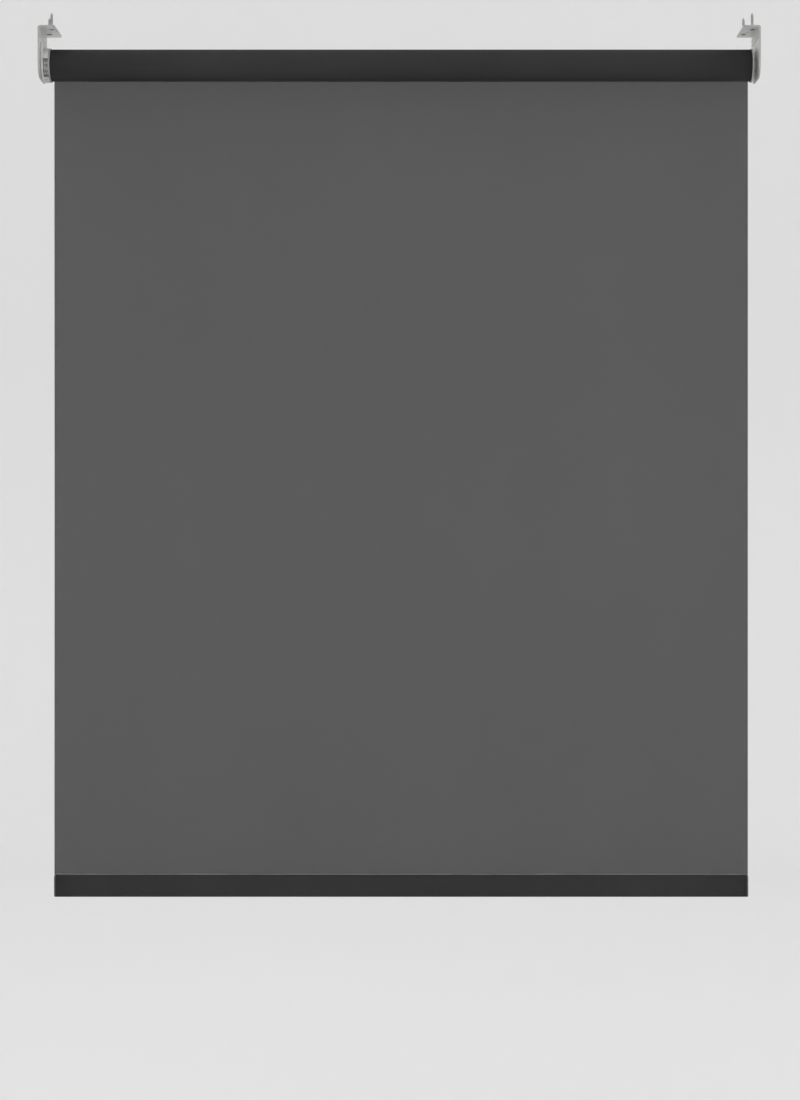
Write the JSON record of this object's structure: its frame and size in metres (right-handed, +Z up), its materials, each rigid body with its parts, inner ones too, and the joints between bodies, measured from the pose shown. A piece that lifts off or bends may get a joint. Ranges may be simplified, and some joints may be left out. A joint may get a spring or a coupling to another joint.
{
  "type": "roller blind",
  "caption": "Ceiling-fixed roller blind: charcoal fabric wound on a tube between two bent metal brackets, bead-chain winder at one end, sprung pin at the other, wrapped hem bar.",
  "frame": {"origin": "on the ceiling plane that the brackets' feet touch, midway between the brackets, directly above the roller axis", "axes": "+X along the roller from the winder to the idle end, +Y back towards the window, +Z up"},
  "size_m": [0.915, 0.064, 1.1307],
  "materials": {
    "bracket_steel": "nickel plated, satin",
    "screw_steel": "zinc plated, dulled",
    "spring_steel": "drawn wire",
    "guard_grey": "moulded, satin",
    "sprocket_grey": "moulded, satin",
    "inner_black": "moulded",
    "tube_aluminium": "extruded",
    "charcoal_fabric": "plain weave, lets a little daylight through",
    "cap_charcoal": "moulded, satin"
  },
  "bodies": {
    "frame": {"bracket_left": "bracket_steel", "bracket_right": "bracket_steel", "ceiling_screw_left_inner": "screw_steel", "ceiling_screw_left_outer": "screw_steel", "ceiling_screw_right_inner": "screw_steel", "ceiling_screw_right_outer": "screw_steel", "winder_guard": "guard_grey", "clutch_spindle": "inner_black", "clutch_retainer": "inner_black", "clutch_screw": "screw_steel", "idle_socket": "inner_black"},
    "sprocket": {"bead_sprocket": "sprocket_grey", "wrap_spring_outer": "spring_steel", "wrap_spring_inner": "spring_steel"},
    "roller": {"drive_hub": "inner_black", "tube_adapter": "guard_grey", "roller_tube": "tube_aluminium", "fixing_cord": "inner_black", "fabric_roll": "charcoal_fabric", "idle_plug": "guard_grey", "idle_stop": "inner_black", "idle_spring": "spring_steel"},
    "pin": {"idle_pin": "screw_steel"},
    "hem": {"fabric_drop": "charcoal_fabric", "hem_pocket": "charcoal_fabric", "hem_bar": "tube_aluminium", "bar_cap_left": "cap_charcoal", "bar_cap_right": "cap_charcoal"}
  },
  "joints": [
    {"name": "roller_spin", "type": "hinge", "parent": "frame", "child": "roller", "pos_m": [0, 0, -0.045], "axis": [1, 0, 0], "range_deg": [-360, 2520]},
    {"name": "sprocket_spin", "type": "hinge", "parent": "frame", "child": "sprocket", "pos_m": [-0.4493, 0, -0.045], "axis": [1, 0, 0], "range_deg": [-360, 2520]},
    {"name": "hem_travel", "type": "slide", "parent": "frame", "child": "hem", "axis": [0, 0, 1], "range_m": [-0.14, 0.975], "deforming": ["fabric_drop"]},
    {"name": "pin_press", "type": "slide", "parent": "roller", "child": "pin", "axis": [-1, 0, 0], "range_m": [0, 0.0065], "stiffness_N_per_m": 600, "springref_m": -0.004, "deforming": ["idle_spring"]}
  ],
  "couplings": [
    {"joint": "sprocket_spin", "follows": "roller_spin", "ratio": 1},
    {"joint": "hem_travel", "follows": "roller_spin", "m_per_rad": 0.0221}
  ]
}
